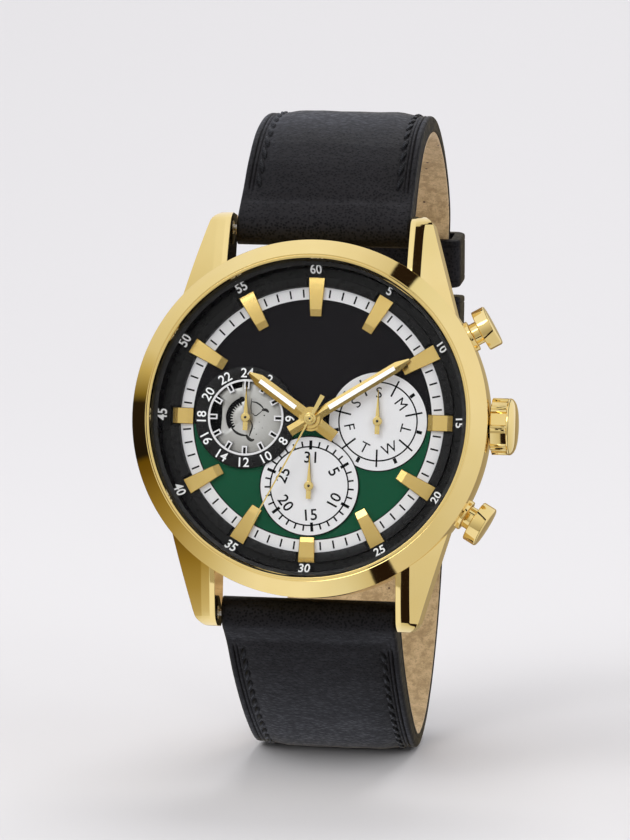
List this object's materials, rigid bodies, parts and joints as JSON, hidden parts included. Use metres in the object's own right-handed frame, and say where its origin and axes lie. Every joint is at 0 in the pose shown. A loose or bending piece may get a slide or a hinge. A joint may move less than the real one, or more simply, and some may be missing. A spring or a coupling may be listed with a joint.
{
  "type": "wristwatch",
  "caption": "Round multifunction wristwatch with small dials, crown, pushers and a padded leather strap buckled into a loop.",
  "frame": {"origin": "centre of the case back's outer flat face, the face that lies on the wrist", "axes": "+Z towards 12 o'clock, +X towards the crown at 3 o'clock, +Y out of the case back towards the wrist; the dial faces -Y"},
  "size_m": [0.0473, 0.0664, 0.0818],
  "materials": {
    "gold_case": "polished gold-tone plating",
    "gold_controls": "polished gold-tone plating",
    "gold_dial_furniture": "polished gold tone",
    "crystal_glass": "clear polished mineral glass",
    "steel": "brushed steel",
    "movement_brass": "satin brass",
    "coil_copper": "enamelled copper wire",
    "grey_metal": "satin grey metal",
    "dial_paint": "satin black above and deep green below",
    "black_paint": "satin black with white numerals",
    "white_paint": "satin white with black print",
    "gasket_rubber": "matte",
    "holder_plastic": "matte",
    "strap_leather": "fine-grain black",
    "strap_lining": "tan suede"
  },
  "bodies": {
    "case": {"battery": "steel", "bezel": "gold_case", "buckle_bar": "steel", "case_back": "steel", "case_back_gasket": "gasket_rubber", "case_middle": "gold_case", "crown_tube": "steel", "crystal": "crystal_glass", "crystal_gasket": "gasket_rubber", "dial_plate": "dial_paint", "flange_ring": "black_paint", "hour_marker_01": "gold_dial_furniture", "hour_marker_02": "gold_dial_furniture", "hour_marker_03": "gold_dial_furniture", "hour_marker_04": "gold_dial_furniture", "hour_marker_05": "gold_dial_furniture", "hour_marker_06": "gold_dial_furniture", "hour_marker_07": "gold_dial_furniture", "hour_marker_08": "gold_dial_furniture", "hour_marker_09": "gold_dial_furniture", "hour_marker_10": "gold_dial_furniture", "hour_marker_11": "gold_dial_furniture", "hour_marker_12": "gold_dial_furniture", "keeper_fixed": "strap_leather", "main_plate": "movement_brass", "minute_track": "white_paint", "motor_coil": "coil_copper", "movement_holder": "holder_plastic", "spring_bar_12": "steel", "spring_bar_6": "steel", "strap_12": "strap_leather", "strap_12_lining": "strap_lining", "strap_6": "strap_leather", "strap_6_lining": "strap_lining", "subdial_24h_plate": "grey_metal", "subdial_24h_ring": "black_paint", "subdial_date": "white_paint", "subdial_day": "white_paint", "train_bridge": "movement_brass"},
    "minute": {"minute_hand": "gold_dial_furniture", "cannon_pinion": "steel"},
    "hour": {"hour_hand": "gold_dial_furniture", "hour_wheel": "movement_brass"},
    "minute_wheel": {"minute_wheel": "movement_brass"},
    "small_24h": {"hand_24h": "gold_dial_furniture", "wheel_24h": "grey_metal"},
    "small_day": {"hand_day": "gold_dial_furniture"},
    "small_date": {"hand_date": "gold_dial_furniture"},
    "seconds": {"seconds_hand": "gold_dial_furniture", "fourth_wheel": "movement_brass"},
    "intermediate": {"intermediate_wheel": "movement_brass"},
    "rotor": {"rotor": "steel"},
    "clutch": {"clutch_pinion": "steel"},
    "crown": {"crown": "gold_controls", "winding_stem": "steel"},
    "pusher_2": {"pusher_2": "gold_controls"},
    "pusher_4": {"pusher_4": "gold_controls"},
    "keeper": {"keeper_free": "strap_leather"},
    "buckle_frame": {"buckle_frame": "gold_case"},
    "buckle_tongue": {"buckle_tongue": "gold_case"}
  },
  "joints": [
    {"name": "minute_turn", "type": "hinge", "parent": "case", "child": "minute", "pos_m": [0, 0, 0], "axis": [0, 1, 0], "continuous": true},
    {"name": "hour_turn", "type": "hinge", "parent": "case", "child": "hour", "pos_m": [0, 0, 0], "axis": [0, 1, 0], "continuous": true},
    {"name": "minute_wheel_turn", "type": "hinge", "parent": "case", "child": "minute_wheel", "pos_m": [0, 0, 0.0024], "axis": [0, 1, 0], "continuous": true},
    {"name": "hand_24h_turn", "type": "hinge", "parent": "case", "child": "small_24h", "pos_m": [-0.0082, 0, 0], "axis": [0, 1, 0], "continuous": true},
    {"name": "day_turn", "type": "hinge", "parent": "case", "child": "small_day", "pos_m": [0.0082, 0, 0], "axis": [0, 1, 0], "continuous": true},
    {"name": "date_turn", "type": "hinge", "parent": "case", "child": "small_date", "pos_m": [0, 0, -0.0082], "axis": [0, 1, 0], "continuous": true},
    {"name": "seconds_turn", "type": "hinge", "parent": "case", "child": "seconds", "pos_m": [0, 0, 0], "axis": [0, 1, 0], "continuous": true},
    {"name": "intermediate_turn", "type": "hinge", "parent": "case", "child": "intermediate", "pos_m": [-0.00271, 0, -0.00098], "axis": [0, 1, 0], "continuous": true},
    {"name": "rotor_turn", "type": "hinge", "parent": "case", "child": "rotor", "pos_m": [-0.00357, 0, -0.00335], "axis": [0, 1, 0], "continuous": true},
    {"name": "crown_turn", "type": "hinge", "parent": "case", "child": "clutch", "pos_m": [0, -0.0046, 0], "axis": [1, 0, 0], "continuous": true},
    {"name": "crown_pull", "type": "slide", "parent": "clutch", "child": "crown", "axis": [1, 0, 0], "range_m": [0, 0.0012]},
    {"name": "pusher_2_press", "type": "slide", "parent": "case", "child": "pusher_2", "axis": [-0.866, 0, -0.5], "range_m": [0, 0.0009], "stiffness_N_per_m": 300},
    {"name": "pusher_4_press", "type": "slide", "parent": "case", "child": "pusher_4", "axis": [-0.866, 0, 0.5], "range_m": [0, 0.0009], "stiffness_N_per_m": 300},
    {"name": "keeper_slide", "type": "slide", "parent": "case", "child": "keeper", "axis": [0, -0.271, 0.9626], "range_m": [-0.0004, 0.0028]},
    {"name": "buckle_frame_hinge", "type": "hinge", "parent": "case", "child": "buckle_frame", "pos_m": [0, 0.046, 0.0095], "axis": [1, 0, 0], "range_deg": [0, 6]},
    {"name": "buckle_tongue_hinge", "type": "hinge", "parent": "buckle_frame", "child": "buckle_tongue", "pos_m": [0, 0.046, 0.0095], "axis": [1, 0, 0], "range_deg": [0, 12]}
  ],
  "couplings": [
    {"joint": "hour_turn", "follows": "minute_turn", "ratio": 0.083333},
    {"joint": "minute_wheel_turn", "follows": "minute_turn", "ratio": -0.33333},
    {"joint": "hand_24h_turn", "follows": "minute_turn", "ratio": 0.041667},
    {"joint": "day_turn", "follows": "minute_turn", "ratio": 0.0059524},
    {"joint": "date_turn", "follows": "minute_turn", "ratio": 0.0013441},
    {"joint": "intermediate_turn", "follows": "seconds_turn", "ratio": -5},
    {"joint": "rotor_turn", "follows": "seconds_turn", "ratio": 30}
  ]
}
